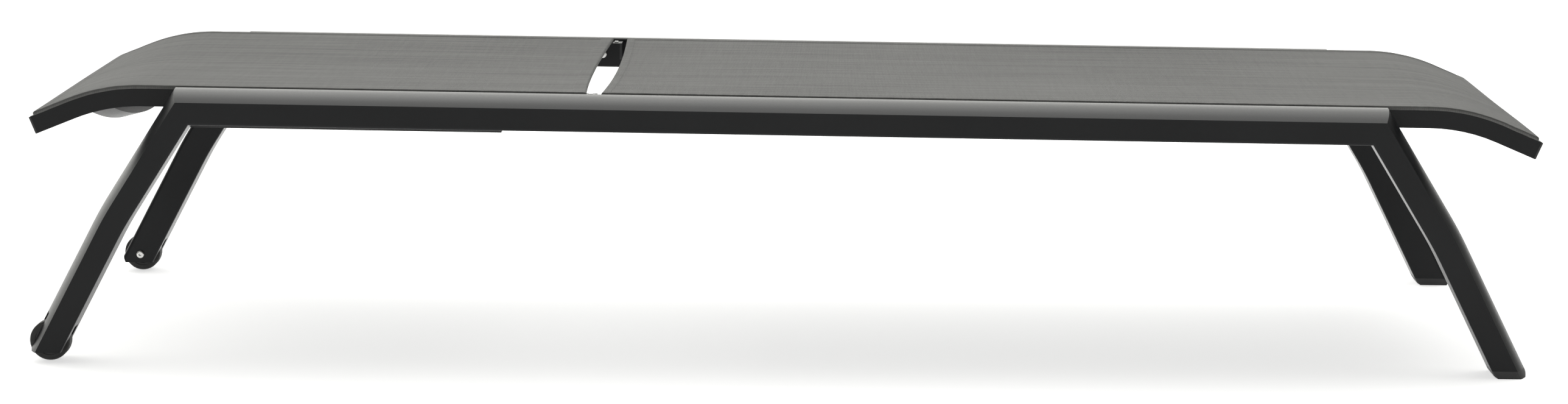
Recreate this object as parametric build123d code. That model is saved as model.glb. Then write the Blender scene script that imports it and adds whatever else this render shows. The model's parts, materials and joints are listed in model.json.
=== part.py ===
from build123d import *
import os
from math import asin, atan2, cos, degrees, radians, sin, sqrt, tan

# Reclining sun lounger with two sling panels, two wheels and a ratchet backrest. Millimetres.
# The head end is at -X, the foot end at +X, and "near" is the -Y side.
# Every part is drawn with its rails level and is then stood on the floor by stand().
# The wheels hang below the cut ends of the head legs, so the rails slope slightly to the foot.

# ---- driving dimensions ----
WIDTH = 700.0                # over both side tubes
RAIL_TOP = 364.0             # top of the side tubes above the wheel bottoms, rails level
TUBE_WIDE = 56.0             # side tube, across
TUBE_TALL = 43.2             # side tube, in the plane of the side frame
TUBE_CREASE = 29.9           # height of the flat outboard face, up to the crease
TUBE_CROWN = 48.0            # across, from the outboard face to the crown of the curved face
TUBE_WALL = 2.0
FRAME_MIDDLE = -5.0          # middle of the side frames, in X
CORNER_X = 797.2             # mitred corner, from the middle of the side frame
UPPER_LEAN = 32.0            # leg lean from upright above its bend, degrees
LOWER_LEAN = 27.2            # and below it
BEND_Z = 203.0
BEND_RADIUS = 500.0
LEG_END_Z = 14.0             # the legs end this far above the wheel bottoms
LEG_TRIM = 0.8               # the head legs' lower corners are cut back this far inside the wheels' outline

BED_TIP = 996.0              # middle of each drooping end of the bed
BED_DROOP = 22.5             # slope of the drooping ends, degrees
BED_CURVE = 240.0            # radius of the curve before them
BED_DROP_RUN = 57.8          # straight run after the curve
BED_WIDE = 580.0             # over the bed rails
BED_RAIL = (26.0, 24.0)      # bed rail section, across and tall
BED_RAIL_MID = 348.4         # height of the middle of the bed rails
BED_WALL = 2.0
CAP = 3.0                    # plastic cap on each bed rail end
CAP_ROUND = 1.6              # its rounded rim at the tips
BACK_RAIL_END = -248.0       # hinge end of the backrest rails, over the cap
SEAT_RAIL_START = -236.0     # hinge end of the seat rails, over the cap
BACK_SLING_END = -262.0
SEAT_SLING_START = -241.0
SLING_MARGIN = 8.0           # bare rail past each sling at the tips
SLING_THICK = 1.2
KEDER_RADIUS = 1.6           # cord along both edges of each sling
KEDER_SIT = 0.5              # its middle above the bed rail

BOW_SAG = 40.0               # the stretchers bow down this much, clear of the sling
BOW_TALL = 20.0
BOW_LONG = 28.0
HEAD_BOW_X = -914.0
BACK_BOW_X = -332.0
SEAT_BOW_X = (-150.0, 330.0, 780.0)
END_BAR = (22.0, 18.0)       # end bar section, along the bed and tall

HINGE_X = -276.0
HINGE_Z = 345.0
RECLINE_MAX = 70.0           # steepest backrest, degrees
PROP_X = HINGE_X - 240.0     # prop pivot on the backrest
PROP_Z = BED_RAIL_MID
PROP_LENGTH = 257.0
PROP_FOOT_DROP = 18.6        # prop foot below its pivot when the bed is flat
PROP_ROD = 6.0               # foot rod radius
PROP_RATIO = -1.946          # prop turn for each degree of backrest
ARM = (16.0, 6.0)            # prop arm section, tall and thick

RACK_X = (-789.0, -373.0)
RACK_BOTTOM = 310.0
RACK_TOP = 334.0
RACK_CLEAR = 1.0             # the foot rod's clearance over the teeth, at the open pivot
RACK_SHELF = 9.5             # width of the toothed shelf
RACK_PLATE = 3.5
REST_ANGLES = (25.0, 36.0, 47.0, 58.0, 69.0)

BOLT = 4.0                   # radius of every main bolt
RUNNING = 0.05               # radial clearance of a turning fit
FIT = 0.1                    # radial clearance of a fixed bolt
BOLT_HEAD = (6.5, 4.3)       # radius, height
SLING_SCREW_X = -256.5       # screws that hold the backrest's keder cords in their rails
SLING_SCREW = (1.5, 3.2, 1.7)    # shank radius, head radius and height
SEAT_BOLT_X = (-200.0, 300.0, 740.0)

WHEEL_RADIUS = 26.6
WHEEL_WIDE = 20.0
HUB_RADIUS = 19.5
WHEEL_INSET = 30.0           # middle of the wheel from the outboard face
WHEEL_SLOT = 23.0
GLIDE_TALL = 10.0
TOE_BEVEL = 5.5              # depth of the cut across the glide's sharp outer corner
HEEL_BEVEL = 1.7             # and across its blunt inner one
STOP_TUBE = (25.0, 12.0)     # cross tube under the head end, along the bed and tall
STOP_TUBE_X = -803.5

# ---- places that follow from them ----
SIDE_Y = -WIDTH / 2                       # outboard face of the near side frame
SIDE_IN = SIDE_Y + TUBE_WIDE              # its inboard face
BED_OUT = -BED_WIDE / 2                   # outboard face of the near bed rails
BED_IN = BED_OUT + BED_RAIL[0]            # their inboard face
RAIL_BOTTOM = RAIL_TOP - TUBE_TALL
BED_BOTTOM = BED_RAIL_MID - BED_RAIL[1] / 2
KEDER_UP = BED_RAIL[1] / 2 + KEDER_SIT
SLING_UP = KEDER_UP + KEDER_RADIUS + 0.1
FOOT_X = PROP_X - sqrt(PROP_LENGTH ** 2 - PROP_FOOT_DROP ** 2)
FOOT_Z = PROP_Z - PROP_FOOT_DROP
LEG_MID = TUBE_TALL / 2 / cos(radians(LOWER_LEAN))


def leg_outer_x(z):
    """X of the outer line of the head leg at height z, below the bend."""
    upper = (RAIL_TOP - BEND_Z) * tan(radians(UPPER_LEAN))
    return FRAME_MIDDLE - CORNER_X - upper - (BEND_Z - z) * tan(radians(LOWER_LEAN))


WHEEL_X = leg_outer_x(WHEEL_RADIUS) + LEG_MID
WHEEL_Y = SIDE_Y + WHEEL_INSET
FOOT_END_X = 2 * FRAME_MIDDLE - leg_outer_x(LEG_END_Z) - LEG_MID
TILT = degrees(asin(LEG_END_Z / (FOOT_END_X - WHEEL_X)))
TIP_TOP_Z = (BED_RAIL_MID - BED_CURVE * (1 - cos(radians(BED_DROOP)))
             - BED_DROP_RUN * sin(radians(BED_DROOP)) + BED_RAIL[1] / 2 * cos(radians(BED_DROOP)))
STANCE = Pos(-TIP_TOP_Z * sin(radians(TILT)), 0, WHEEL_X * sin(radians(TILT))) * Rot(0, TILT, 0)


def stand(shape):
    """Stand a level part on the floor, on its wheels and feet."""
    return STANCE * shape


def other_side(shape):
    return mirror(shape, about=Plane.XZ)


def to_foot_end(shape, middle=0.0):
    return mirror(shape, about=Plane.YZ.offset(middle))


def block(x, y, z):
    """A box from (low, high) pairs."""
    return Pos((x[0] + x[1]) / 2, (y[0] + y[1]) / 2, (z[0] + z[1]) / 2) * Box(
        x[1] - x[0], y[1] - y[0], z[1] - z[0])


def rod(x, z, y, radius):
    """A round bar along Y, between the pair y."""
    return Pos(x, (y[0] + y[1]) / 2, z) * Rot(90, 0, 0) * Cylinder(radius, abs(y[1] - y[0]))


def ring(x, z, y, radius, hole):
    return rod(x, z, y, radius) - rod(x, z, (y[0] - 1, y[1] + 1), hole)


def across(origin, along):
    """The plane of a section: its x runs along Y, its normal runs along the direction given."""
    return Plane(origin=origin, x_dir=(0, 1, 0), z_dir=along)


# ---- side frames ----

def tube_outline():
    """Side tube section, with its crown line at the origin's height and its outboard face at 0."""
    rise = TUBE_TALL - TUBE_CREASE
    radius = (TUBE_CROWN ** 2 + rise ** 2) / (2 * rise)
    sweep_angle = degrees(asin(TUBE_CROWN / radius))
    crown = CenterArc((TUBE_CROWN, -radius), radius, 90, sweep_angle)
    rest = Polyline((0, -rise), (0, -TUBE_TALL), (TUBE_WIDE, -TUBE_TALL), (TUBE_WIDE, 0), (TUBE_CROWN, 0))
    return make_face(crown + rest)


def tube_section():
    sharp = tube_outline()
    inner = offset(sharp, amount=-TUBE_WALL, kind=Kind.INTERSECTION)
    corners = sharp.vertices()
    soft = fillet(corners.filter_by(lambda v: v.X > TUBE_WIDE - 1 and v.Y > -1), 6)
    soft = fillet(soft.vertices().filter_by(lambda v: v.Y < 1 - TUBE_TALL), 3)
    return soft, inner


def leg_path(start_z):
    """Outer line of the head leg, from start_z up past the mitred corner."""
    lower = Vector(leg_outer_x(start_z), SIDE_Y, start_z)
    knee = Vector(leg_outer_x(BEND_Z), SIDE_Y, BEND_Z)
    lean = radians(UPPER_LEAN)
    corner = Vector(FRAME_MIDDLE - CORNER_X, SIDE_Y, RAIL_TOP)
    past = corner + Vector(sin(lean), 0, cos(lean)) * TUBE_TALL
    return FilletPolyline(lower, knee, past, radius=BEND_RADIUS)


def mitre():
    """Plane of the mitre at the head corner, with its normal towards the leg."""
    half_turn = radians(90 - UPPER_LEAN) / 2
    return Plane(origin=(FRAME_MIDDLE - CORNER_X, 0, RAIL_TOP), x_dir=(0, 1, 0),
                 z_dir=(-cos(half_turn), 0, -sin(half_turn)))


def head_leg_blank(end_z):
    """Near head leg, cut level at end_z."""
    path = leg_path(end_z - 60)
    start = across(path @ 0, path % 0)
    soft, inner = tube_section()
    tube = sweep(start * soft, path=path) - sweep(start * inner, path=path)
    tube = split(tube, bisect_by=mitre(), keep=Keep.TOP)
    return split(tube, bisect_by=Plane.XY.offset(end_z), keep=Keep.TOP)


def side_rail():
    soft, inner = tube_section()
    start = across((FRAME_MIDDLE - CORNER_X - 40, SIDE_Y, RAIL_TOP), (1, 0, 0))
    rail = extrude(start * (soft - inner), 2 * CORNER_X + 80)
    rail = split(rail, bisect_by=mitre(), keep=Keep.BOTTOM)
    rail = to_foot_end(rail, FRAME_MIDDLE)
    rail = split(rail, bisect_by=mitre(), keep=Keep.BOTTOM)
    for x in SEAT_BOLT_X:
        rail -= rod(2 * FRAME_MIDDLE - x, BED_RAIL_MID, (SIDE_IN - 3, SIDE_IN + 1), BOLT + FIT)
    rail -= rod(2 * FRAME_MIDDLE - HINGE_X, HINGE_Z, (SIDE_IN - 3, SIDE_IN + 1), BOLT + FIT)
    for x in rack_screw_places():
        rail -= rod(2 * FRAME_MIDDLE - x, RACK_TOP - 5, (SIDE_IN - 3, SIDE_IN + 1), 2.1)
    return to_foot_end(rail, FRAME_MIDDLE)


def at_wheel(shape):
    """Place a shape drawn about the wheel centre with +Z up the leg."""
    return Pos(WHEEL_X, WHEEL_Y, WHEEL_RADIUS) * Rot(0, LOWER_LEAN, 0) * shape


def wheel_slot(wide, above):
    return at_wheel(block((-60, 60), (-wide / 2, wide / 2), (-70, above)))


def past_wheel_rim():
    """The room below the axle and outside the wheel's outline."""
    low = block((WHEEL_X - 60, WHEEL_X + 60), (SIDE_Y - 1, SIDE_IN + 1), (0, WHEEL_RADIUS))
    return low - rod(WHEEL_X, WHEEL_RADIUS, (SIDE_Y - 2, SIDE_IN + 2), WHEEL_RADIUS - LEG_TRIM)


def head_leg():
    leg = head_leg_blank(LEG_END_Z) - past_wheel_rim()
    leg -= wheel_slot(WHEEL_SLOT, WHEEL_RADIUS + 6)
    return leg - rod(WHEEL_X, WHEEL_RADIUS, (SIDE_IN - 3, SIDE_IN + 1), BOLT + FIT)


def foot_leg():
    return to_foot_end(head_leg_blank(LEG_END_Z + GLIDE_TALL), FRAME_MIDDLE)


def leg_core(from_z, to_z, inset):
    """Solid that fills the near head leg's tube between two heights."""
    path = leg_path(from_z - 30)
    start = across(path @ 0, path % 0)
    inner = offset(tube_outline(), amount=-TUBE_WALL - inset, kind=Kind.INTERSECTION)
    core = extrude(start * inner, 220)
    return core & block((-1200, 0), (SIDE_Y, 0), (from_z, to_z))


def wheel_housing():
    """Plastic fork in the leg end, which holds the wheel between its cheeks."""
    housing = leg_core(LEG_END_Z, 84, 0.1) - past_wheel_rim()
    housing -= wheel_slot(WHEEL_SLOT - 1, WHEEL_RADIUS + 2)
    return housing - rod(WHEEL_X, WHEEL_RADIUS, (SIDE_Y + 8, SIDE_IN), BOLT + FIT)


def bevelled(shape, x, lift, depth):
    """Cut the corner at x of the leg's end, depth deep along a line lifted from +X by an angle."""
    inward = Vector(cos(radians(lift)), 0, sin(radians(lift)))
    cut = Plane(origin=Vector(x, 0, LEG_END_Z) + inward * depth, x_dir=(0, 1, 0), z_dir=inward)
    return split(shape, bisect_by=cut, keep=Keep.TOP)


def foot_glide():
    """Plastic foot: a pad with the tube's outline, bevelled at toe and heel, and a spigot up the tube."""
    path = leg_path(LEG_END_Z - 30)
    start = across(path @ 0, path % 0)
    soft = tube_section()[0]
    toe = leg_outer_x(LEG_END_Z)
    half_corner = (90 - LOWER_LEAN) / 2
    pad = extrude(start * soft, 120) & block((-1200, 0), (SIDE_Y, 0), (LEG_END_Z - 2, LEG_END_Z + GLIDE_TALL))
    pad = bevelled(pad, toe, half_corner, TOE_BEVEL)
    pad = bevelled(pad, toe + 2 * LEG_MID, half_corner + 90, HEEL_BEVEL)
    pad += leg_core(LEG_END_Z + GLIDE_TALL - 1, LEG_END_Z + GLIDE_TALL + 30, 0.1)
    return to_foot_end(pad, FRAME_MIDDLE)


# ---- bed rails, bars and slings ----

def bed_path(gap, end_x):
    """Middle line of the near head-end bed rail, from its drooping tip to end_x on the flat."""
    slope = radians(BED_DROOP)
    curve_x = BED_TIP - BED_DROP_RUN * cos(slope) - BED_CURVE * sin(slope)
    tip_z = BED_RAIL_MID - BED_CURVE * (1 - cos(slope)) - BED_DROP_RUN * sin(slope)
    tip = Vector(-BED_TIP + gap * cos(slope), BED_OUT, tip_z + gap * sin(slope))
    bend = Vector(-curve_x - BED_CURVE * tan(slope / 2), BED_OUT, BED_RAIL_MID)
    return FilletPolyline(tip, bend, Vector(end_x, BED_OUT, BED_RAIL_MID), radius=BED_CURVE)


def along_bed(section, gap, end_x):
    path = bed_path(gap, end_x)
    return sweep(across(path @ 0, path % 0) * section, path=path)


def upright(wide, tall, middle_y, middle_z=0.0):
    """A rectangle in a bed section, with its middle given from the rail's outboard middle line."""
    return Pos(middle_y, middle_z) * Rectangle(wide, tall)


def keder_circle(clearance):
    return Pos(KEDER_RADIUS + 0.4, KEDER_UP) * Circle(KEDER_RADIUS + clearance)


def rail_outline():
    """Outside of a bed rail's section, with the groove that the keder cord sits in."""
    wide, tall = BED_RAIL
    return upright(wide, tall, wide / 2) - keder_circle(RUNNING)


def bed_rail(end_x):
    wide, tall = BED_RAIL
    hollow = upright(wide - 2 * BED_WALL, tall - 2 * BED_WALL, wide / 2)
    return along_bed(rail_outline() - hollow, CAP, end_x - CAP)


def bed_caps(end_x):
    """Caps for both ends of a bed rail, each with a spigot inside the tube."""
    wide, tall = BED_RAIL
    plate = rail_outline()
    spigot = upright(wide - 2 * BED_WALL - 0.2, tall - 2 * BED_WALL - 0.2, wide / 2)
    path = bed_path(0, end_x)
    tip = across(path @ 0, path % 0)
    flat = across((end_x, BED_OUT, BED_RAIL_MID), (1, 0, 0))
    tip_block = extrude(tip * upright(wide, tall, wide / 2), CAP)
    rounded = fillet(tip_block.faces().sort_by(Axis(path @ 0, path % 0))[0].edges(), CAP_ROUND)
    tip_plate = rounded - extrude(tip * keder_circle(RUNNING), CAP)
    return [tip_plate + extrude(tip * spigot, CAP + 12),
            extrude(flat * plate, -CAP) + extrude(flat * spigot, -CAP - 12)]


def keder(end_x):
    return along_bed(keder_circle(0), SLING_MARGIN, end_x)


def sling(end_x):
    flat = upright(BED_WIDE, SLING_THICK, BED_WIDE / 2, SLING_UP + SLING_THICK / 2)
    return along_bed(flat, SLING_MARGIN, end_x)


def end_bar():
    """Straight tube between the drooping tips of the bed rails, flush with their tops."""
    path = bed_path(CAP, 0)
    start = across(path @ 0, path % 0)
    long, tall = END_BAR
    span = BED_WIDE - 2 * BED_RAIL[0]
    middle = (BED_RAIL[1] - tall) / 2
    bar = extrude(start * upright(span, tall, BED_WIDE / 2, middle), long)
    hollow = extrude(start * upright(span, tall - 4, BED_WIDE / 2, middle), long - 4)
    return bar - Pos(2 * cos(radians(BED_DROOP)), 0, 2 * sin(radians(BED_DROOP))) * hollow


def bow_face(wall):
    """Side view of a bowed stretcher, from its section's wall inwards."""
    half = BED_WIDE / 2 - BED_RAIL[0]
    low = wall - BOW_TALL / 2
    high = -low
    under = ThreePointArc((-half, low), (0, low - BOW_SAG), (half, low))
    over = ThreePointArc((half, high), (0, high - BOW_SAG), (-half, high))
    return make_face(under + Line(under @ 1, over @ 0) + over + Line(over @ 1, under @ 0))


def bow():
    """Stretcher about the origin, along Y, bowed down between its ends."""
    skin = extrude(Plane.YZ * bow_face(0), BOW_LONG / 2, both=True)
    return skin - extrude(Plane.YZ * bow_face(2), BOW_LONG / 2 - 2, both=True)


def flat_bow(x):
    return Pos(x, 0, BED_RAIL_MID - 1) * bow()


def head_bow():
    """The stretcher at the head end, turned to the slope of the bed there."""
    slope = radians(BED_DROOP)
    curve_x = BED_TIP - BED_DROP_RUN * cos(slope) - BED_CURVE * sin(slope)
    turn = asin((-HEAD_BOW_X - curve_x) / BED_CURVE)
    z = BED_RAIL_MID - BED_CURVE * (1 - cos(turn)) - 1
    return Pos(HEAD_BOW_X, 0, z) * Rot(0, -degrees(turn), 0) * bow()


# ---- hinge, prop and rack ----

def drilled_back_rail():
    rail = bed_rail(BACK_RAIL_END)
    rail -= rod(HINGE_X, HINGE_Z, (BED_OUT - 1, BED_IN + 1), BOLT + 2)
    rail -= sling_screw()
    return rail - rod(PROP_X, PROP_Z, (BED_IN - 3, BED_IN + 1), BOLT + FIT)


def sling_screw():
    """Pan-head screw down through the top wall of a back rail."""
    shank, head, tall = SLING_SCREW
    top = BED_RAIL_MID + BED_RAIL[1] / 2
    at_top = Pos(SLING_SCREW_X, BED_OUT + BED_RAIL[0] / 2, top)
    cap = Pos(0, 0, tall / 2) * Cylinder(head, tall)
    cap = fillet(cap.edges().filter_by(GeomType.CIRCLE).sort_by(Axis.Z)[-1:], tall * 0.6)
    cap -= Pos(0, 0, tall - 0.8) * extrude(RegularPolygon(head * 0.42, 6), 1)
    return at_top * (cap + Pos(0, 0, -BED_WALL / 2) * Cylinder(shank, BED_WALL))


def drilled_seat_rail():
    rail = bed_rail(-SEAT_RAIL_START)
    for x in SEAT_BOLT_X:
        rail -= rod(-x, BED_RAIL_MID, (BED_OUT - 1, BED_IN + 1), BOLT + FIT)
    return to_foot_end(rail)


def socket_bolt(x, z, seat_y, end_y, head=BOLT_HEAD):
    """Bolt along Y with a domed socket head inboard of seat_y."""
    radius, tall = head
    cap = Pos(x, seat_y + tall / 2, z) * Rot(90, 0, 0) * Cylinder(radius, tall)
    cap = fillet(cap.edges().filter_by(GeomType.CIRCLE).sort_by(Axis.Y)[-1:], tall * 0.6)
    hexagon = extrude(RegularPolygon(radius * 0.42, 6), 2.6)
    cap -= Pos(x, seat_y + tall + 0.1, z) * Rot(90, 0, 0) * hexagon
    return cap + rod(x, z, (end_y, seat_y), BOLT)


def hinge_bolt():
    return socket_bolt(HINGE_X, HINGE_Z, BED_IN + 0.2, SIDE_IN - 10)


def hinge_washer():
    return ring(HINGE_X, HINGE_Z, (SIDE_IN, BED_OUT - 0.2), 9, BOLT)


def hinge_bush():
    return ring(HINGE_X, HINGE_Z, (BED_OUT, BED_IN), BOLT + 2, BOLT + RUNNING)


def seat_spacer(x):
    return ring(x, BED_RAIL_MID, (SIDE_IN, BED_OUT), 9, BOLT)


def seat_bolt(x):
    return socket_bolt(x, BED_RAIL_MID, BED_IN, SIDE_IN - 10)


def prop_arm():
    """Flat arm from the prop pivot to the foot rod, lying in the flat position."""
    tall, thick = ARM
    outer = BED_IN + 2
    arm_y = (outer, outer + thick)
    lean = degrees(atan2(PROP_FOOT_DROP, PROP_X - FOOT_X))
    bar = block((-PROP_LENGTH, 0), (0, thick), (-tall / 2, tall / 2))
    arm = Pos(PROP_X, outer, PROP_Z) * Rot(0, -lean, 0) * bar
    arm += rod(PROP_X, PROP_Z, arm_y, tall / 2)
    arm += rod(FOOT_X, FOOT_Z, arm_y, tall / 2)
    arm -= rod(PROP_X, PROP_Z, (outer - 1, arm_y[1] + 1), BOLT + RUNNING)
    return arm - rod(FOOT_X, FOOT_Z, (outer - 1, arm_y[1] + 1), PROP_ROD)


def prop_pivot():
    return socket_bolt(PROP_X, PROP_Z, BED_IN + 2 + ARM[1] + 0.2, BED_IN - 10)


def prop_washer():
    return ring(PROP_X, PROP_Z, (BED_IN, BED_IN + 1.8), 8, BOLT)


def prop_foot_rod():
    return rod(FOOT_X, FOOT_Z, (BED_OUT + 12, -BED_OUT - 12), PROP_ROD)


def prop_tip():
    return rod(FOOT_X, FOOT_Z, (BED_OUT + 0.5, BED_OUT + 12), PROP_ROD)


def prop_brace():
    share = 0.36
    inner = BED_IN + 2 + ARM[1]
    x = PROP_X + share * (FOOT_X - PROP_X)
    z = PROP_Z - share * PROP_FOOT_DROP
    return rod(x, z, (inner, -inner), 5)


def foot_place(angle):
    """X of the prop foot when the backrest is raised to the angle."""
    turn = radians(angle)
    arm = HINGE_X - PROP_X
    up = PROP_Z - HINGE_Z
    rise = arm * sin(turn) + up * cos(turn) + HINGE_Z - FOOT_Z
    return HINGE_X - (arm * cos(turn) - up * sin(turn) + sqrt(PROP_LENGTH ** 2 - rise ** 2))


def rack_screw_places():
    return [RACK_X[0] + 20, (RACK_X[0] + RACK_X[1]) / 2, RACK_X[1] - 20]


def rack():
    """Notched bar on the inboard face of the side tube: a plate, and a shelf that carries the notches."""
    shelf_top = FOOT_Z - PROP_ROD - RACK_CLEAR
    plate_y = (SIDE_IN, SIDE_IN + RACK_PLATE)
    bar = block(RACK_X, plate_y, (RACK_BOTTOM, RACK_TOP))
    bar += block(RACK_X, (plate_y[1], plate_y[1] + RACK_SHELF), (RACK_BOTTOM, shelf_top))
    notch_y = (plate_y[1], plate_y[1] + RACK_SHELF + 1)
    for angle in REST_ANGLES:
        x = foot_place(angle)
        bar -= rod(x, shelf_top, notch_y, PROP_ROD + 1)
        bar -= block((x, x + 16), notch_y, (shelf_top - 2.5, shelf_top + 1))
    for x in rack_screw_places():
        bar -= rod(x, RACK_TOP - 5, (SIDE_IN - 1, plate_y[1] + 1), 2.1)
        bar -= rod(x, RACK_TOP - 5, (plate_y[1] - 2, plate_y[1] + 1), 4.1)
    return bar


def rack_screw(x):
    face = SIDE_IN + RACK_PLATE
    return rod(x, RACK_TOP - 5, (SIDE_IN - 8, face - 2), 2) + rod(x, RACK_TOP - 5, (face - 2, face - 0.2), 4)


# ---- head cross tube and its pads ----

def stop_tube():
    long, tall = STOP_TUBE
    z = BED_BOTTOM - 3 - tall / 2
    tube = Pos(STOP_TUBE_X, 0, z) * Box(long, -2 * SIDE_IN, tall)
    return tube - Pos(STOP_TUBE_X, 0, z) * Box(long - 4, -2 * SIDE_IN, tall - 4)


def stop_pad():
    long = STOP_TUBE[0]
    return block((STOP_TUBE_X - long / 2, STOP_TUBE_X + long / 2), (BED_OUT, BED_IN),
                 (BED_BOTTOM - 3, BED_BOTTOM - 0.3))


# ---- wheels ----

def tyre():
    wide = WHEEL_WIDE
    body = Cylinder(WHEEL_RADIUS, wide) - Cylinder(HUB_RADIUS, wide + 2)
    rims = body.edges().filter_by(GeomType.CIRCLE).filter_by(lambda e: e.radius > WHEEL_RADIUS - 1)
    return Pos(WHEEL_X, WHEEL_Y, WHEEL_RADIUS) * Rot(90, 0, 0) * fillet(rims, 2.5)


def hub():
    """Plastic hub: a rim, a web and a boss that runs on the axle bolt."""
    wide = WHEEL_WIDE - 2
    body = Cylinder(HUB_RADIUS, wide)
    for side in (-1, 1):
        recess = Cylinder(HUB_RADIUS - 3, 5) - Cylinder(8, 5)
        body -= Pos(0, 0, side * wide / 2) * recess
    body += Cylinder(8, WHEEL_WIDE + 1)
    body -= Cylinder(BOLT + RUNNING, 2 * WHEEL_WIDE)
    return Pos(WHEEL_X, WHEEL_Y, WHEEL_RADIUS) * Rot(90, 0, 0) * body


def axle_bolt():
    return socket_bolt(WHEEL_X, WHEEL_RADIUS, SIDE_IN, SIDE_Y + 9, head=(5.8, 3.4))


# ---- the whole lounger ----

def pair(name, shape):
    """A near part and its far twin, as two nodes."""
    return {"near_" + name: [shape], "far_" + name: [other_side(shape)]}


def group(shapes):
    """Near parts and their far twins, as the solids of one node."""
    return list(shapes) + [other_side(s) for s in shapes]


def side_frames():
    parts = pair("side_rail", side_rail())
    parts.update(pair("head_leg", head_leg()))
    parts.update(pair("foot_leg", foot_leg()))
    parts.update(pair("wheel_housing", wheel_housing()))
    parts.update(pair("foot_glide", foot_glide()))
    parts.update(pair("rack", rack()))
    parts["rack_screws"] = group([rack_screw(x) for x in rack_screw_places()])
    parts["stop_tube"] = [stop_tube()]
    parts["stop_pads"] = group([stop_pad()])
    parts["axle_bolts"] = group([axle_bolt()])
    return parts


def seat():
    parts = pair("seat_rail", drilled_seat_rail())
    parts.update(pair("seat_keder", to_foot_end(keder(-SEAT_SLING_START))))
    parts["seat_sling"] = [to_foot_end(sling(-SEAT_SLING_START))]
    parts["foot_end_bar"] = [to_foot_end(end_bar())]
    for name, x in zip(("hinge", "middle", "foot"), SEAT_BOW_X):
        parts["seat_stretcher_" + name] = [flat_bow(x)]
    parts["seat_rail_caps"] = group([to_foot_end(c) for c in bed_caps(-SEAT_RAIL_START)])
    parts["seat_spacers"] = group([seat_spacer(x) for x in SEAT_BOLT_X])
    parts["seat_bolts"] = group([seat_bolt(x) for x in SEAT_BOLT_X])
    return parts


def backrest():
    parts = pair("back_rail", drilled_back_rail())
    parts.update(pair("back_keder", keder(BACK_SLING_END)))
    parts["back_sling"] = [sling(BACK_SLING_END)]
    parts["sling_screws"] = group([sling_screw()])
    parts["head_end_bar"] = [end_bar()]
    parts["back_stretcher_head"] = [head_bow()]
    parts["back_stretcher_hinge"] = [flat_bow(BACK_BOW_X)]
    parts["back_rail_caps"] = group(bed_caps(BACK_RAIL_END))
    parts["hinge_bolts"] = group([hinge_bolt()])
    parts["hinge_washers"] = group([hinge_washer()])
    parts["hinge_bushes"] = group([hinge_bush()])
    return parts


def prop():
    parts = pair("prop_arm", prop_arm())
    parts["prop_pivot_bolts"] = group([prop_pivot()])
    parts["prop_washers"] = group([prop_washer()])
    parts["prop_foot_rod"] = [prop_foot_rod()]
    parts["prop_foot_tips"] = group([prop_tip()])
    parts["prop_brace"] = [prop_brace()]
    return parts


def wheels():
    parts = pair("tyre", tyre())
    parts.update(pair("wheel_hub", hub()))
    return parts


def above_floor(shape):
    return shape & block((-1200, 1200), (-400, 400), (0, 600))


def lounger():
    parts = {}
    for section in (side_frames(), seat(), backrest(), prop(), wheels()):
        parts.update(section)
    placed = {name: [stand(s) for s in shapes] for name, shapes in parts.items()}
    for side in ("near", "far"):
        name = side + "_foot_glide"
        placed[name] = [above_floor(s) for s in placed[name]]
    return placed


def solids_of(shapes):
    return [solid for shape in shapes for solid in shape.solids()]


os.makedirs("parts", exist_ok=True)
for node, shapes in lounger().items():
    export_step(Compound(children=solids_of(shapes)), "parts/" + node + ".step")
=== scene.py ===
import json
import math

import bpy
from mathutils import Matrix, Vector, noise

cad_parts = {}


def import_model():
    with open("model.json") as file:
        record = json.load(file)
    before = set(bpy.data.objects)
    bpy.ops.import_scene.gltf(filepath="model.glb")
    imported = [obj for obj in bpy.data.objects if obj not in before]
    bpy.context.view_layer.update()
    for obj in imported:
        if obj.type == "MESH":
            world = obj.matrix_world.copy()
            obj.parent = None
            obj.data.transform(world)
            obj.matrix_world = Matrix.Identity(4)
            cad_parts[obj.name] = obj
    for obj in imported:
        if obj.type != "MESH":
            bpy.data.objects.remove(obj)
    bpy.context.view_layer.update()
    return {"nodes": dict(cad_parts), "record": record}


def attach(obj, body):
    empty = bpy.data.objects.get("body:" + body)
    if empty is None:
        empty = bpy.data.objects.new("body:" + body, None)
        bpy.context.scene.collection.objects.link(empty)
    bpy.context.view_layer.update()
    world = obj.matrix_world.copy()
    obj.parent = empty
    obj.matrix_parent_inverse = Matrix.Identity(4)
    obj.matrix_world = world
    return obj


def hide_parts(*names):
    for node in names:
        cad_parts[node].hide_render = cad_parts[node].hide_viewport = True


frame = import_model()

# ---- the bed's shape, in metres, as the frame has it ----
TILT = math.radians(0.414584)     # the rails slope this much down to the foot end
SHIFT_X = -0.002309               # the row's origin, from the level drawing's
SHIFT_Z = -0.007013
BED_TIP = 0.996                   # middle of each drooping tip
BED_DROOP = math.radians(22.5)
BED_CURVE = 0.240
BED_DROP_RUN = 0.0578
BED_MID = 0.3484                  # middle of the bed rails
RAIL_HALF = 0.012                 # half of a bed rail's height
CURVE_START = BED_TIP - BED_DROP_RUN * math.cos(BED_DROOP) - BED_CURVE * math.sin(BED_DROOP)
CURVE_END = CURVE_START + BED_CURVE * BED_DROOP
TIP = CURVE_END + BED_DROP_RUN    # along the bed, from its middle

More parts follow.
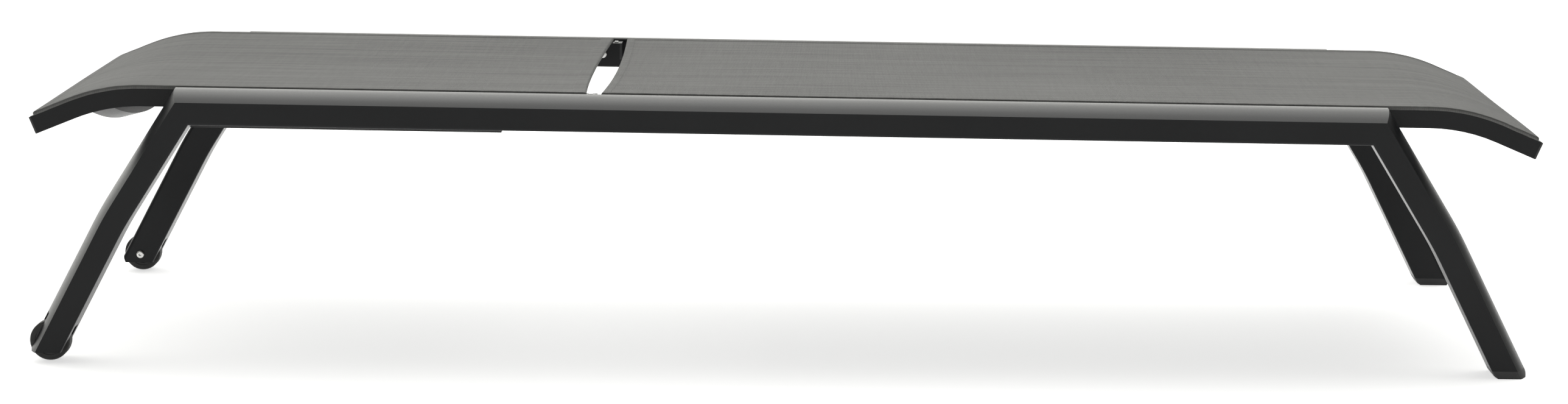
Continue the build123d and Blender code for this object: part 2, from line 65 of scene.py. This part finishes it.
# ---- the slings ----
CLOTH = 0.0008                    # thickness of the woven sheet
KEDER_Y = 0.2880                  # middle of the keder cord along each edge
KEDER_UP = RAIL_HALF + 0.0005
ROLL = 0.0016 + 0.0001 + CLOTH    # outer radius where the sheet rolls over the cord
ROLL_TURN = math.radians(125)     # it rolls down to the top of the rail
TOP_UP = KEDER_UP + ROLL          # the sheet's outer face, over the middle of the rails
TIP_MARGIN = 0.008                # bare rail past the sheet at the tips
BACK_HEM = -0.262
SEAT_HEM = -0.241
SCALLOP_FADE = 0.30
SAG = 0.005
FOLD = 0.0011                     # outer radius of a free hem's fold
SIDE_SEAM = 0.0090                # from the keder's middle
TIP_SEAM = 0.0110                 # from the rolled tip
HEM_RISE = 0.0009                 # the sewn double cloth stands this much higher
STITCH = 0.0030
STITCH_GAP = 0.0008
THREAD = 0.00045                  # radius of the sewing thread
THREAD_SIDES = 6
STITCH_RINGS = (                  # along a stitch: share of its length, lift and size, in thread radii
    (0.0, -0.9, 0.35), (0.18, 0.1, 0.9), (0.5, 0.45, 1.0), (0.82, 0.1, 0.9), (1.0, -0.9, 0.35))
UNDER_STEP = 0.0025               # spacing of the mesh under a folded hem
ROW_STEP = 0.0055                 # and along the open sheet
COLUMNS = 28                      # across the open sheet

# ---- the studio ----
FLOOR_HALF = 40.0
ROOM = (                          # direction, from, to, and the surroundings' brightness at each
    ("Y", -0.6, 0.9, 0.13, 2.25), ("X", 0.25, 0.65, 1.0, 0.15))


def smooth(t):
    t = min(1.0, max(0.0, t))
    return t * t * (3 - 2 * t)


def stand(x, y, z):
    """A point of the level drawing, in the row frame."""
    c, s = math.cos(TILT), math.sin(TILT)
    return Vector((x * c + z * s + SHIFT_X, y, z * c - x * s + SHIFT_Z))


def bed_point(s, y, up):
    """The point at s along the bed, y across it, and up from the middle of its rails."""
    run = abs(s)
    turn = min(max((run - CURVE_START) / BED_CURVE, 0.0), BED_DROOP)
    x = min(run, CURVE_START) + BED_CURVE * math.sin(turn)
    z = BED_MID - BED_CURVE * (1 - math.cos(turn))
    rest = max(run - CURVE_END, 0.0)
    x += rest * math.cos(turn) + up * math.sin(turn)
    z += up * math.cos(turn) - rest * math.sin(turn)
    return stand(math.copysign(x, s), y, z)


# ---- mesh helpers ----

def new_piece(name, verts, faces, material, body, slot):
    mesh = bpy.data.meshes.new(name)
    mesh.from_pydata([tuple(v) for v in verts], [], faces)
    mesh.validate()
    mesh.polygons.foreach_set("use_smooth", [True] * len(mesh.polygons))
    mesh.materials.append(material)
    piece = bpy.data.objects.new(name, mesh)
    bpy.context.scene.collection.objects.link(piece)
    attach(piece, body)
    return piece


# ---- node helpers ----

class Nodes:
    """A material's node tree, with short calls for the nodes that the materials share."""

    def __init__(self, name):
        self.material = bpy.data.materials.new(name)
        self.material.use_nodes = True
        self.tree = self.material.node_tree
        self.shader = self.tree.nodes["Principled BSDF"]
        self.place = self.add("ShaderNodeTexCoord").outputs["Object"]

    def add(self, kind, **settings):
        node = self.tree.nodes.new(kind)
        for key, value in settings.items():
            setattr(node, key, value)
        return node

    def link(self, a, b):
        self.tree.links.new(a, b)

    def set(self, **sockets):
        for key, value in sockets.items():
            self.shader.inputs[key.replace("_", " ")].default_value = value

    def feed(self, socket, value):
        if isinstance(value, (int, float)):
            socket.default_value = value
        else:
            self.link(value, socket)

    def math(self, operation, a, b=0.0, c=0.0, clamp=False):
        node = self.add("ShaderNodeMath", operation=operation, use_clamp=clamp)
        for socket, value in zip(node.inputs, (a, b, c)):
            self.feed(socket, value)
        return node.outputs[0]

    def axes(self, vector=None):
        node = self.add("ShaderNodeSeparateXYZ")
        self.link(vector or self.place, node.inputs[0])
        return node.outputs

    def scaled(self, scale):
        node = self.add("ShaderNodeMapping")
        self.link(self.place, node.inputs["Vector"])
        node.inputs["Scale"].default_value = scale
        return node.outputs[0]

    def noise(self, scale, detail=2.0, vector=None, roughness=0.5):
        node = self.add("ShaderNodeTexNoise")
        self.link(vector or self.place, node.inputs["Vector"])
        node.inputs["Scale"].default_value = scale
        node.inputs["Detail"].default_value = detail
        node.inputs["Roughness"].default_value = roughness
        return node.outputs["Fac"]

    def ramp(self, value, stops):
        node = self.add("ShaderNodeValToRGB")
        self.link(value, node.inputs[0])
        ends = node.color_ramp.elements
        while len(ends) < len(stops):
            ends.new(0.5)
        for end, (place, colour) in zip(ends, stops):
            end.position = place
            end.color = (*colour, 1.0)
        return node.outputs[0]

    def spread(self, value, low, high):
        """Value 0..1 mapped to low..high."""
        node = self.add("ShaderNodeMapRange")
        self.link(value, node.inputs["Value"])
        node.inputs["To Min"].default_value = low
        node.inputs["To Max"].default_value = high
        return node.outputs[0]

    def bump(self, height, distance, strength=1.0, under=None):
        node = self.add("ShaderNodeBump")
        node.inputs["Distance"].default_value = distance
        node.inputs["Strength"].default_value = strength
        self.link(height, node.inputs["Height"])
        if under:
            self.link(under, node.inputs["Normal"])
        return node.outputs[0]

    def colour(self, socket):
        self.link(socket, self.shader.inputs["Base Color"])

    def rough(self, socket):
        self.link(socket, self.shader.inputs["Roughness"])

    def normal(self, socket):
        self.link(socket, self.shader.inputs["Normal"])


def powder_coat():
    """Anthracite powder coat: a satin film with fine orange peel and a little fleck."""
    n = Nodes("powder_coat")
    fleck = n.noise(2600, 1)
    cloud = n.noise(9, 3)
    mixed = n.math("MULTIPLY_ADD", fleck, 0.35, n.math("MULTIPLY", cloud, 0.65))
    n.colour(n.ramp(mixed, [(0.30, (0.0046, 0.0050, 0.0057)), (0.72, (0.0082, 0.0088, 0.0098))]))
    n.rough(n.spread(n.noise(320, 3), 0.28, 0.38))
    peel = n.bump(n.noise(900, 2), 0.00010, 0.5)
    n.normal(n.bump(fleck, 0.00003, 0.4, peel))
    n.set(IOR=1.29)
    return n.material


def sling_weave():
    """Coated mesh cloth: round yarns crossing over and under, streaked along the bed, its colour darkened
    with painted shade in the low places between the yarns.
    """
    n = Nodes("sling_weave")
    pitch = 1 / 0.0013
    x, y = n.axes()[:2]
    warp = n.math("MULTIPLY", y, pitch)
    weft = n.math("MULTIPLY", x, pitch * 0.9)
    pi = math.pi
    warp_round = n.math("ABSOLUTE", n.math("COSINE", n.math("MULTIPLY", warp, pi)))
    weft_round = n.math("ABSOLUTE", n.math("COSINE", n.math("MULTIPLY", weft, pi)))
    a = n.math("SINE", n.math("MULTIPLY", n.math("ADD", warp, 0.5), pi))
    b = n.math("SINE", n.math("MULTIPLY", n.math("ADD", weft, 0.5), pi))
    over = n.math("MULTIPLY", a, b)
    warp_high = n.math("MULTIPLY", warp_round, n.math("MULTIPLY_ADD", over, 0.30, 0.70))
    weft_high = n.math("MULTIPLY", weft_round, n.math("MULTIPLY_ADD", over, -0.30, 0.62))
    height = n.math("MAXIMUM", warp_high, weft_high)
    yarn = n.add("ShaderNodeTexWhiteNoise", noise_dimensions="1D")
    n.link(n.math("FLOOR", n.math("ADD", warp, 0.5)), yarn.inputs["W"])
    streak = n.noise(1.0, 3, n.scaled((4.0, 260.0, 4.0)), 0.65)
    fill = n.noise(1.0, 2, n.scaled((260.0, 9.0, 9.0)), 0.6)
    cloud = n.noise(2.4, 3)
    tone = n.math("MULTIPLY_ADD", yarn.outputs["Value"], 0.12, n.math("MULTIPLY", streak, 0.56))
    tone = n.math("MULTIPLY_ADD", fill, 0.14, tone)
    tone = n.math("MULTIPLY_ADD", cloud, 0.22, tone)
    # painted shade and light: the yarns' own tone is darkened where the weave is low, between the yarns, and
    # lifted a little on their crowns
    tone_with_painted_weave_shade = n.math("MULTIPLY", tone, n.math("MULTIPLY_ADD", height, 0.55, 0.55))
    n.colour(n.ramp(tone_with_painted_weave_shade, [(0.22, (0.029, 0.029, 0.028)), (0.42, (0.088, 0.088, 0.085)),
                            (0.66, (0.152, 0.152, 0.147))]))
    n.rough(n.spread(height, 0.80, 0.62))
    n.normal(n.bump(height, 0.00035, 0.8))
    n.set(Sheen_Weight=0.03, Sheen_Roughness=0.5, IOR=1.30)
    return n.material


def thread():
    """Twisted polyester sewing thread."""
    n = Nodes("sewing_thread")
    n.colour(n.ramp(n.noise(1800, 2), [(0.35, (0.34, 0.34, 0.325)), (0.65, (0.54, 0.54, 0.515))]))
    n.normal(n.bump(n.noise(5200, 1), 0.0001, 0.6))
    n.set(Roughness=0.65, Sheen_Weight=0.2)
    return n.material


def moulded_plastic():
    """Black polyamide with a fine spark-eroded grain and faint flow marks."""
    n = Nodes("moulded_plastic")
    n.colour(n.ramp(n.noise(60, 4), [(0.3, (0.012, 0.012, 0.0125)), (0.7, (0.022, 0.022, 0.023))]))
    n.rough(n.spread(n.noise(500, 2), 0.45, 0.62))
    n.normal(n.bump(n.noise(3200, 2), 0.00006, 0.6))
    n.set(IOR=1.5)
    return n.material


def tyre_rubber(name="tyre_rubber"):
    """Dull rubber with moulding bloom."""
    n = Nodes(name)
    n.colour(n.ramp(n.noise(90, 4), [(0.3, (0.016, 0.016, 0.016)), (0.75, (0.034, 0.034, 0.033))]))
    n.rough(n.spread(n.noise(700, 3), 0.58, 0.8))
    n.normal(n.bump(n.noise(1500, 3), 0.00008, 0.6))
    return n.material


def stainless():
    """Turned stainless steel, brushed round and a little mottled."""
    n = Nodes("stainless")
    n.colour(n.ramp(n.noise(140, 3), [(0.3, (0.50, 0.50, 0.49)), (0.7, (0.68, 0.68, 0.66))]))
    n.rough(n.spread(n.noise(2200, 2), 0.16, 0.34))
    n.normal(n.bump(n.noise(3500, 1), 0.00002, 0.5))
    n.set(Metallic=1.0)
    return n.material


# ---- slings ----

class Sling:
    """One stretched panel, from its free hem at the hinge to its rolled end at a tip."""

    def __init__(self, hem, side, seams, scallop):
        self.hem = hem
        self.side = side                                   # -1 head end, +1 foot end
        self.length = (TIP - TIP_MARGIN - ROLL) - side * hem
        self.seams = seams                                 # stitch rows, from the free hem
        self.scallop = scallop                             # how far the hem curves in at mid-width

    def raised(self, l, t):
        """How far the sewn double layers stand above the single sheet."""
        edge = KEDER_Y - abs(t)
        side = 1 - smooth((edge - SIDE_SEAM) / 0.0016)
        free = 1 - smooth((l - self.seams[-1] - 0.0012) / 0.0014)
        tip = 1 - smooth((self.length - l - TIP_SEAM - 0.001) / 0.0016)
        dents = 0.0
        for gap in [edge - SIDE_SEAM, self.length - l - TIP_SEAM] + [l - s for s in self.seams]:
            dents += math.exp(-(gap / 0.0007) ** 2)
        return HEM_RISE * max(side, free, tip) - 0.00025 * min(dents, 1.0)

    def pucker(self, l, t):
        """Small ripples that the seams pull into the cloth, and the broad unevenness of the tension."""
        edge = KEDER_Y - abs(t)
        near = math.exp(-edge / 0.022) + 0.8 * math.exp(-l / 0.03) + 0.6 * math.exp(-(self.length - l) / 0.03)
        here = Vector((self.side * l, t, self.hem))
        fine = noise.noise(Vector((here.x * 62, here.y * 14, 3.1))) if edge < l else \
            noise.noise(Vector((here.x * 14, here.y * 62, 7.7)))
        broad = noise.noise(here * 3.2) * smooth(edge / 0.05)
        return 0.00022 * min(near, 1.0) * fine + 0.0009 * broad

    def point(self, l, t, depth=0.0, roll_l=0.0, roll_t=0.0):
        """Outer face of the sheet: l from the free hem, t across, rolled over by the two arc lengths."""
        across = 1 - (t / KEDER_Y) ** 2
        bow = self.scallop * across * (1 - smooth(l / SCALLOP_FADE))
        sag = SAG * across * (0.75 + 0.25 * smooth(1 - l / 0.3)) * smooth((self.length - l) / 0.12)
        up = TOP_UP - sag - depth + self.pucker(l, t)
        if depth == 0.0:
            up += self.raised(l, t)
        turn = max(roll_l, abs(roll_t)) / ROLL
        size = math.hypot(roll_l, roll_t) or 1.0
        out = (ROLL - depth) * math.sin(turn)
        up -= (ROLL - depth) * (1 - math.cos(turn))
        along = self.hem + self.side * (l + bow + out * roll_l / size)
        return bed_point(along, t + out * roll_t / size, up)

    def rows(self):
        """(l, depth, roll) from the folded-under edge of the hem, round its fold and on to the tip."""
        count = int(self.seams[-1] / UNDER_STEP)
        under = [(self.seams[-1] + 0.001 - UNDER_STEP * k, 2 * FOLD, 0.0) for k in range(count)]
        fold = [(FOLD - FOLD * math.sin(a), FOLD + FOLD * math.cos(a), 0.0)
                for a in (math.pi * k / 6 for k in range(7))]
        near = [0.0022, 0.0036]
        for s in self.seams:
            near += [s - 0.0008, s, s + 0.0008]
        near += [self.seams[-1] + 0.0016, self.seams[-1] + 0.0028, self.seams[-1] + 0.005]
        last = self.length - TIP_SEAM
        far = [last + d for d in (-0.006, -0.003, -0.0018, -0.0008, 0.0, 0.0008, 0.004)] + [self.length]
        count = round((far[0] - near[-1]) / ROW_STEP)
        middle = [near[-1] + (far[0] - near[-1]) * k / count for k in range(1, count)]
        top = [(l, 0.0, 0.0) for l in near + middle + far]
        roll = [(self.length, 0.0, ROLL * ROLL_TURN * k / 8) for k in range(1, 9)]
        return under + fold[1:] + top + roll

    def columns(self):
        """(t, roll) across the sheet."""
        inner = [0.0, 0.003, 0.006, SIDE_SEAM - 0.0008, SIDE_SEAM, SIDE_SEAM + 0.0008, SIDE_SEAM + 0.0018,
                 SIDE_SEAM + 0.004, 0.018, 0.025, 0.034, 0.045]
        half = [KEDER_Y - d for d in inner]
        middle = [-half[-1] + 2 * half[-1] * k / COLUMNS for k in range(1, COLUMNS)]
        flat = [(-t, 0.0) for t in half] + [(t, 0.0) for t in middle] + [(t, 0.0) for t in reversed(half)]
        edge = [ROLL * ROLL_TURN * k / 8 for k in range(1, 9)]
        return [(-KEDER_Y, -e) for e in reversed(edge)] + flat + [(KEDER_Y, e) for e in edge]

    def mesh(self):
        rows, columns = self.rows(), self.columns()
        verts = [self.point(l, t, depth, roll_l, roll_t)
                 for l, depth, roll_l in rows for t, roll_t in columns]
        wide = len(columns)
        faces = []
        for j in range(len(rows) - 1):
            for i in range(wide - 1):
                a = j * wide + i
                quad = (a, a + wide, a + wide + 1, a + 1)
                faces.append(quad if self.side < 0 else quad[::-1])
        return verts, faces

    def seam_lines(self):
        """Each stitch row as a function of its length and the length itself."""
        wide = 2 * (KEDER_Y - SIDE_SEAM - 0.004)
        lines = [(lambda d, s=s: (s, d - wide / 2), wide) for s in self.seams]
        lines.append((lambda d: (self.length - TIP_SEAM, d - wide / 2), wide))
        long = self.length - TIP_SEAM - 0.004
        for sign in (-1, 1):
            lines.append((lambda d, sign=sign: (0.002 + d, sign * (KEDER_Y - SIDE_SEAM)), long))
        return lines

    def flat_size(self):
        """Width and length of the cut, with its rolls and its folded hem."""
        width = 2 * (KEDER_Y + ROLL * ROLL_TURN)
        length = self.length + ROLL * ROLL_TURN + self.seams[-1] + FOLD * (math.pi - 1)
        return width, length


def stitch_mesh(sling):
    """Every stitch of a sling as a small capsule of thread, half sunk in the cloth."""
    verts, faces = [], []
    step = STITCH + STITCH_GAP
    for place, long in sling.seam_lines():
        for k in range(int(long / step)):
            ends = [sling.point(*place(k * step + e)) for e in (0.0, STITCH / 2, STITCH)]
            add_stitch(verts, faces, ends)
    return verts, faces


def add_stitch(verts, faces, ends):
    along = (ends[2] - ends[0]).normalized()
    side = along.cross(Vector((0, 0, 1))).normalized()
    up = side.cross(along)
    first = len(verts)
    sides = THREAD_SIDES
    for place, lift, size in STITCH_RINGS:
        centre = ends[0].lerp(ends[2], place) + up * lift * THREAD
        for q in range(sides):
            a = 2 * math.pi * q / sides
            verts.append(centre + (side * math.cos(a) + up * math.sin(a)) * THREAD * size)
    last = len(STITCH_RINGS) - 1
    for ring in range(last):
        for q in range(sides):
            a = first + ring * sides + q
            b = first + ring * sides + (q + 1) % sides
            faces.append((a, b, b + sides, a + sides))
    faces.append(tuple(first + q for q in reversed(range(sides))))
    faces.append(tuple(first + last * sides + q for q in range(sides)))


def make_sling(name, node, body, sling, cloth, sewing):
    piece = new_piece(name, *sling.mesh(), cloth, body, "sling_fabric")
    shell = piece.modifiers.new("thickness", "SOLIDIFY")
    shell.thickness = CLOTH
    shell.offset = -1
    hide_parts(node)
    stitches = new_piece(name + "_stitches", *stitch_mesh(sling), sewing, body, "sling_fabric")
    sling.flat_size()


# ---- materials of the carried-over nodes ----

def dress_frame(materials):
    slots = {s["node"]: s["material_slot"] for s in frame["record"]["subparts"]}
    for name, node in frame["nodes"].items():
        node.data.materials.clear()
        node.data.materials.append(materials[slots[name]])


# ---- studio ----

def floor():
    """A pale sweep: it glows a little, so that the object's shadow on it stays faint."""
    mesh = bpy.data.meshes.new("floor")
    corners = [(x * FLOOR_HALF, y * FLOOR_HALF, 0) for x, y in ((-1, -1), (1, -1), (1, 1), (-1, 1))]
    mesh.from_pydata(corners, [], [(0, 1, 2, 3)])
    n = Nodes("studio_floor")
    n.set(Base_Color=(0.88, 0.88, 0.88, 1), Roughness=1.0, Specular_IOR_Level=0.0,
          Emission_Color=(1, 1, 1, 1), Emission_Strength=0.62)
    mesh.materials.append(n.material)
    plane = bpy.data.objects.new("floor", mesh)
    bpy.context.scene.collection.objects.link(plane)


def soft_box(name, place, aim, size, power):
    light = bpy.data.lights.new(name, "AREA")
    light.shape = "RECTANGLE"
    light.size, light.size_y = size
    light.energy = power
    lamp = bpy.data.objects.new(name, light)
    lamp.location = place
    lamp.rotation_euler = (Vector(aim) - Vector(place)).to_track_quat("-Z", "Y").to_euler()
    bpy.context.scene.collection.objects.link(lamp)


def world():
    """A white cyclorama behind and above, a darker room in front and past the foot end."""
    w = bpy.data.worlds.new("studio")
    w.use_nodes = True
    tree = w.node_tree
    place = tree.nodes.new("ShaderNodeTexCoord")
    split = tree.nodes.new("ShaderNodeSeparateXYZ")
    tree.links.new(place.outputs["Generated"], split.inputs[0])
    product = tree.nodes.new("ShaderNodeMath")
    product.operation = "MULTIPLY"
    for slot, (axis, start, end, low, high) in enumerate(ROOM):
        spread = tree.nodes.new("ShaderNodeMapRange")
        spread.interpolation_type = "SMOOTHSTEP"
        for key, value in zip(("From Min", "From Max", "To Min", "To Max"), (start, end, low, high)):
            spread.inputs[key].default_value = value
        tree.links.new(split.outputs[axis], spread.inputs["Value"])
        tree.links.new(spread.outputs[0], product.inputs[slot])
    back = tree.nodes["Background"]
    back.inputs["Color"].default_value = (1.0, 1.0, 0.96, 1)
    tree.links.new(product.outputs[0], back.inputs["Strength"])
    bpy.context.scene.world = w


def camera():
    data = bpy.data.cameras.new("camera")
    data.sensor_width = 36.0
    data.lens = 82.29
    data.clip_start, data.clip_end = 0.1, 100.0
    cam = bpy.data.objects.new("camera", data)
    cam.location = (0.0708, -4.9690, 1.0194)
    cam.rotation_euler = (math.radians(80.2590), math.radians(-0.4330), math.radians(0.9288))
    bpy.context.scene.collection.objects.link(cam)
    bpy.context.scene.camera = cam


def studio():
    floor()
    world()
    camera()
    soft_box("overhead", (0.35, 0.9, 2.8), (0, 0, 0.3), (4.5, 2.5), 44)
    bpy.context.scene.view_settings.view_transform = "Standard"


def lounger():
    cloth, sewing = sling_weave(), thread()
    dress_frame({
        "powder_coat": powder_coat(),
        "sling_fabric": cloth,
        "black_plastic": moulded_plastic(),
        "stop_rubber": tyre_rubber("stop_rubber"),
        "tyre_rubber": tyre_rubber(),
        "stainless": stainless(),
    })
    back = Sling(BACK_HEM, -1, (0.0110, 0.0150), 0.0072)
    seat = Sling(SEAT_HEM, 1, (0.0055, 0.0088), 0.0045)
    make_sling("back_sling_cloth", "back_sling", "backrest", back, cloth, sewing)
    make_sling("seat_sling_cloth", "seat_sling", "root", seat, cloth, sewing)


studio()
lounger()
